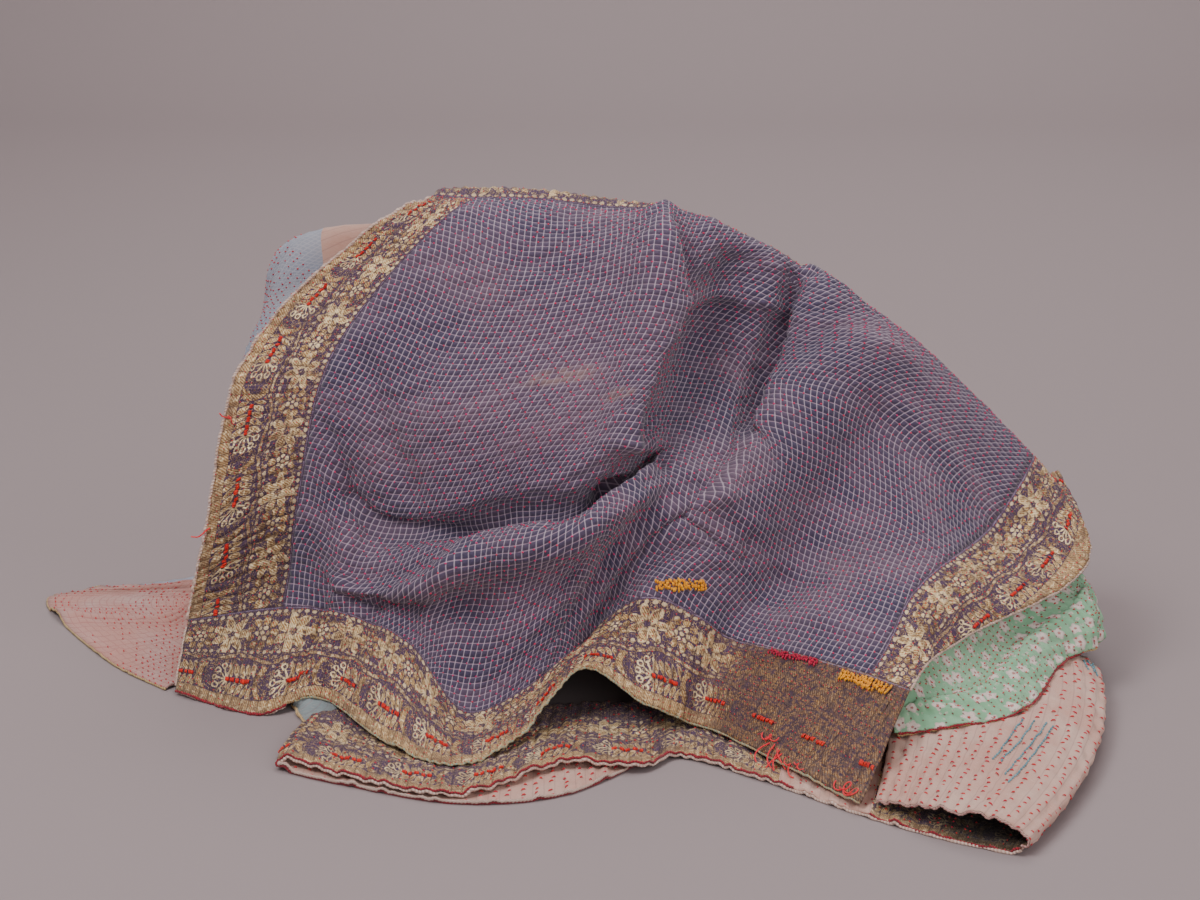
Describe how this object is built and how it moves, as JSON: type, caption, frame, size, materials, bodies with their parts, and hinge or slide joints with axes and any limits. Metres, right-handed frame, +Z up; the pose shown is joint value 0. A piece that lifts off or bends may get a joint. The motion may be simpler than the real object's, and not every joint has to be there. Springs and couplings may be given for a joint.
{
  "type": "kantha quilt",
  "caption": "Worn kantha quilt thrown down in a loose heap, indigo check with gold brocade borders, patchwork back turned out at the sides.",
  "frame": {"origin": "centre of the heap's bounding box on the floor", "axes": "+X to the right of the heap seen from its front hem, +Y away from the front, +Z up"},
  "size_m": [0.9635, 0.6974, 0.4089],
  "materials": {
    "indigo_check": "matt woven cotton",
    "gold_brocade": "metal thread brocade",
    "patchwork_back": "matt worn cotton",
    "pink_back": "matt worn cotton"
  },
  "bodies": {
    "root": {"check_field": "indigo_check", "border_front": "gold_brocade", "border_back": "gold_brocade", "border_left": "gold_brocade", "border_right": "gold_brocade", "lower_ply": "patchwork_back", "front_fold": "pink_back"}
  },
  "joints": []
}
